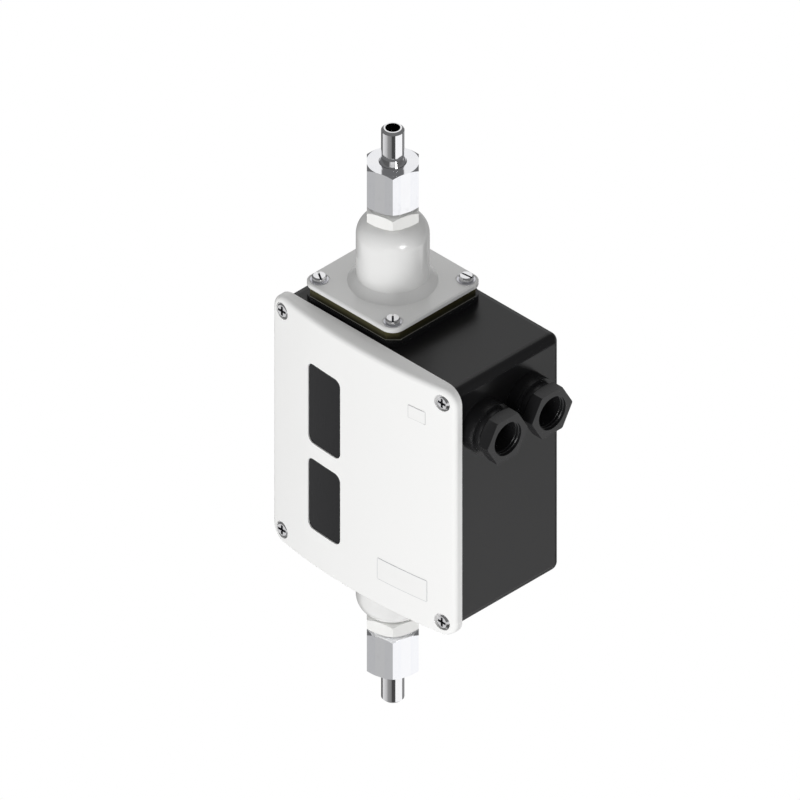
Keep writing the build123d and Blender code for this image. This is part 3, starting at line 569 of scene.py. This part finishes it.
# Thin plate bent to the bulge of the cover, with rounded corners, and a raised rim where it has one
def plate_on_cover(name, material, at, size, corner, rise, rim=None):
    cover = bmesh.new()
    cover.from_mesh(nodes["front_cover"].data)
    cover_skin = BVHTree.FromBMesh(cover)
    mesh = bmesh.new()
    bmesh.ops.create_grid(mesh, x_segments=1, y_segments=1, size=0.5)
    bmesh.ops.scale(mesh, verts=mesh.verts, vec=(size.x, size.y, 1))
    bmesh.ops.bevel(mesh, geom=mesh.verts[:], affect="VERTICES", offset=corner,
                    segments=PLATE_CORNER_STEPS, profile=0.5, material=-1)
    bmesh.ops.rotate(mesh, verts=mesh.verts, matrix=Matrix.Rotation(math.radians(90), 3, "X"))
    for strip in range(1, PLATE_STRIPS):
        across = size.x * (strip / PLATE_STRIPS - 0.5)
        bmesh.ops.bisect_plane(mesh, geom=everything(mesh), plane_co=(across, 0, 0),
                               plane_no=(1, 0, 0))
    bmesh.ops.translate(mesh, verts=mesh.verts, vec=(at.x, 0, at.y))
    front = mesh.faces[:]
    lifted = bmesh.ops.extrude_face_region(mesh, geom=front, use_keep_orig=True)["geom"]
    raised = [item for item in lifted if isinstance(item, bmesh.types.BMFace)]
    raised_points = {point for face in raised for point in face.verts}
    field_points = set()
    if rim:
        bmesh.ops.inset_region(mesh, faces=raised, thickness=rim, use_even_offset=True)
        field_points = {point for face in raised for point in face.verts}
    for point in mesh.verts:
        start = Vector((point.co.x, cover_front_y - PROBE_START, point.co.z))
        hit = cover_skin.ray_cast(start, Vector((0, 1, 0)))[0]
        height = -PLATE_SINK
        if point in field_points:
            height = rise * PLATE_FIELD
        elif point in raised_points:
            height = rise
        point.co.y = hit.y - height
    bmesh.ops.recalc_face_normals(mesh, faces=mesh.faces)
    cover.free()
    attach(made(mesh, name, material), "base")


# Helical ridge inside the mouth of a gland nut
def gland_thread(name, nut, material):
    low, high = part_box(nut)
    middle = (low + high) / 2
    start = high.x - THREAD_DEPTH
    mesh = bmesh.new()
    points = [mesh.verts.new((start + along, middle.y, middle.z + (GLAND_BORE_R + out)))
              for along, out in THREAD_SECTION]
    edges = [mesh.edges.new((point, points[(i + 1) % len(points)]))
             for i, point in enumerate(points)]
    bmesh.ops.spin(mesh, geom=points + edges, cent=(start, middle.y, middle.z), axis=(1, 0, 0),
                   dvec=(THREAD_PITCH / THREAD_STEPS, 0, 0), angle=math.tau * THREAD_TURNS,
                   steps=round(THREAD_STEPS * THREAD_TURNS), use_merge=False, use_duplicate=False)
    bmesh.ops.holes_fill(mesh, edges=mesh.edges, sides=len(THREAD_SECTION))
    bmesh.ops.recalc_face_normals(mesh, faces=mesh.faces)
    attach(made(mesh, name, material), "base")


# Printed marks and numbers on the range scale
def scale_marks():
    low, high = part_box("range_scale")
    mesh = bmesh.new()
    bottom = low.z + MARKS_ABOVE_BOTTOM
    pitch = (high.z - MARKS_BELOW_TOP - bottom) / (MARK_COUNT - 1)
    for count in range(MARK_COUNT):
        size = LONG_MARK if count % MARKS_PER_NUMBER == 0 else SHORT_MARK
        place = Vector((high.x - MARK_MARGIN - size[0] / 2, low.y, bottom + count * pitch))
        bmesh.ops.create_cube(mesh, size=1, matrix=Matrix.Translation(place)
                              @ Matrix.Diagonal(Vector(size)).to_4x4())
    turn = Matrix.Rotation(math.radians(90), 4, "X")
    for count in range(0, MARK_COUNT, MARKS_PER_NUMBER):
        words = bpy.data.curves.new("number", "FONT")
        words.body = str(count // MARKS_PER_NUMBER)
        words.size = NUMBER_HEIGHT
        words.align_x = "CENTER"
        words.align_y = "CENTER"
        words.extrude = NUMBER_THICK
        holder = bpy.data.objects.new("number", words)
        flat = bpy.data.meshes.new_from_object(holder)
        place = Matrix.Translation(Vector((low.x + NUMBER_MARGIN, low.y, bottom + count * pitch)))
        flat.transform(place @ turn)
        mesh.from_mesh(flat)
        bpy.data.objects.remove(holder)
        bpy.data.meshes.remove(flat)
    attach(made(mesh, "scale_marks", scale_ink()), "base")


def add_small_pieces():
    foil = blank_plate("plate_foil", LABEL_AT, LABEL_SIZE, edge=0.00022, text="C2C4C6")
    plate_on_cover("bare_plate", foil, LABEL_AT, LABEL_SIZE, corner=0.0006, rise=0.00018)
    face = blank_plate("badge_face", BADGE_AT, BADGE_SIZE, edge=0.00045, text="D2D2D2")
    plate_on_cover("bare_badge", face, BADGE_AT, BADGE_SIZE, corner=0.0004, rise=0.00025,
                   rim=0.0005)
    gland = nodes["front_gland_nut"].data.materials[0]
    gland_thread("front_gland_thread", "front_gland_nut", gland)
    gland_thread("rear_gland_thread", "rear_gland_nut", gland)
    scale_marks()


# Copy of a springy node that takes its place, and the node is hidden. Where only one end of the node
# is wanted, the copy is cut at the still level and closed
def stretchy(name, node, still, keep_above=None):
    mesh = bmesh.new()
    mesh.from_mesh(nodes[node].data)
    bmesh.ops.remove_doubles(mesh, verts=mesh.verts, dist=MERGE_WITHIN)
    if keep_above is not None:
        bmesh.ops.bisect_plane(mesh, geom=everything(mesh), plane_co=(0, 0, still),
                               plane_no=(0, 0, 1), clear_inner=keep_above,
                               clear_outer=not keep_above)
        cut = [edge for edge in mesh.edges if edge.is_boundary]
        bmesh.ops.holes_fill(mesh, edges=cut, sides=0)
    piece = made(mesh, name, nodes[node].data.materials[0])
    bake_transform(piece)
    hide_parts(node)


def add_stretchy_parts():
    low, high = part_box("main_spring")
    split = high.z - SPRING_SPLIT
    stretchy("spring_head", "main_spring", split, True)
    stretchy("spring_coils", "main_spring", split, False)
    low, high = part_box("upper_bellows")
    stretchy("upper_bellows_folds", "upper_bellows", low.z)
    low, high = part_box("lower_bellows")
    stretchy("lower_bellows_folds", "lower_bellows", high.z)


# Finish of the floor: white to the camera, dark and pale cards to metal, and grey to all the rest
def floor_finish():
    material, f, shader = surface("floor", Roughness=FLOOR_ROUGH, Base_Color=FLOOR_COLOUR)
    centred = f.add("ShaderNodeMapping", {},
                    {"Vector": f.place(), "Location": (-axis_x, -axis_y, 0)}).out()
    turn = f.add("ShaderNodeTexGradient", {"gradient_type": "RADIAL"},
                 {"Vector": centred}).out("Fac")
    rings = []
    for cards in (NEAR_CARDS, FAR_CARDS):
        stops = [((degrees - CARDS_START) / 360, level) for degrees, level in cards]
        rings.append(f.add("ShaderNodeValToRGB", {"stops": stops}, {"Fac": turn}).out("Color"))
    reach = f.add("ShaderNodeVectorMath", {"operation": "LENGTH"}, {0: centred}).out("Value")
    seen_cards = f.blend(f.step(reach, FAR_FROM, FAR_FROM + FAR_BLEND), *rings)
    path = f.add("ShaderNodeLightPath")
    plain = (path.out("Is Camera Ray") + path.out("Is Transmission Ray")).clamped()
    seen = (plain + path.out("Is Glossy Ray")).clamped()
    colour = f.blend(plain, seen_cards, (1, 1, 1))
    glow = f.add("ShaderNodeEmission", {}, {"Color": colour, "Strength": 1.0})
    mix = f.add("ShaderNodeMixShader", {}, {0: seen, 1: Link(f, shader.outputs[0]), 2: glow.out()})
    f.feed(material.node_tree.nodes["Material Output"].inputs["Surface"], mix.out())
    return material


# Floor far below the object. It throws no shadow, because the key light comes up through it
def set_stage():
    mesh = bmesh.new()
    bmesh.ops.create_grid(mesh, x_segments=1, y_segments=1, size=FLOOR_SIZE)
    bmesh.ops.translate(mesh, verts=mesh.verts, vec=(axis_x, axis_y, cad_box[0].z - FLOOR_DROP))
    floor = made(mesh, "floor", floor_finish())
    floor.visible_shadow = False


# Light: an even world with a card and a lamp that only polished things see, one broad key from
# below on the viewer's side, and a weak fill from behind
def set_light():
    world = bpy.data.worlds.new("world")
    bpy.context.scene.world = world
    world.use_nodes = True
    f = Finish(world.node_tree)
    path = f.add("ShaderNodeLightPath")
    direction = f.add("ShaderNodeTexCoord").out("Generated")
    to_card, to_lamp = [f.add("ShaderNodeVectorMath", {"operation": "DOT_PRODUCT"},
                              {0: direction, 1: source}).out("Value")
                        for source in (CARD_FROM, LAMP_FROM)]
    card = DIM_LEVEL + f.step(to_card, *CARD_FACING) * (CARD_LEVEL - DIM_LEVEL)
    card = card + f.step(to_lamp, *LAMP_FACING) * LAMP_LEVEL
    plain = (path.out("Is Camera Ray") + path.out("Is Transmission Ray")).clamped()
    mirrored = path.out("Is Glossy Ray")
    background = world.node_tree.nodes["Background"]
    background.inputs["Color"].default_value = (1, 1, 1, 1)
    lit = WORLD_LEVEL + mirrored * (card - WORLD_LEVEL)
    f.feed(background.inputs["Strength"], lit + plain * (1 - lit))
    for name, level, source in (("key", KEY_LEVEL, KEY_FROM), ("fill", FILL_LEVEL, FILL_FROM)):
        sun = bpy.data.lights.new(name, "SUN")
        sun.energy = level * math.pi
        sun.angle = SUN_SPREAD
        lamp = bpy.data.objects.new(name, sun)
        lamp.visible_glossy = False
        lamp.rotation_mode = "QUATERNION"
        lamp.rotation_quaternion = source.to_track_quat("Z", "Y")
        bpy.context.scene.collection.objects.link(lamp)


bpy.context.scene.view_settings.view_transform = "Standard"
set_camera()
set_stage()
set_light()
dress_all()
add_small_pieces()
add_stretchy_parts()
